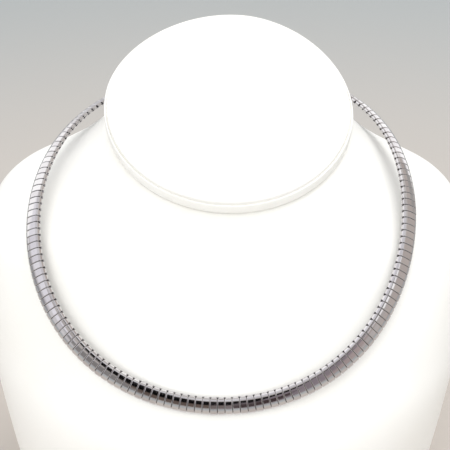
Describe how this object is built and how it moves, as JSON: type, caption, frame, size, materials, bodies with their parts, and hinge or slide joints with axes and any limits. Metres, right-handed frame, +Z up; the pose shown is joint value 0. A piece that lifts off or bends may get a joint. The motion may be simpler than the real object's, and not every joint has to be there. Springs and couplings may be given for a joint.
{
  "type": "omega necklace on a neck bust",
  "caption": "Omega necklace: a closed collar of domed polished plates on a flat mesh core with a box clasp, laid on a white leatherette neck bust with a slanted oval cap.",
  "frame": {"origin": "middle of the bust's base, on the surface it stands on", "axes": "+Z up, -Y out of the chest towards the viewer, +X to the viewer's right"},
  "size_m": [0.185, 0.1341, 0.187],
  "materials": {
    "bust_leatherette": "matte grain",
    "cap_leatherette": "matte grain",
    "plate_silver": "polished",
    "mesh_silver": "satin",
    "clasp_silver": "polished"
  },
  "bodies": {
    "root": {"bust_body": "bust_leatherette", "neck_cap": "cap_leatherette", "omega_plates": "plate_silver", "mesh_core": "mesh_silver", "clasp": "clasp_silver"}
  },
  "joints": []
}
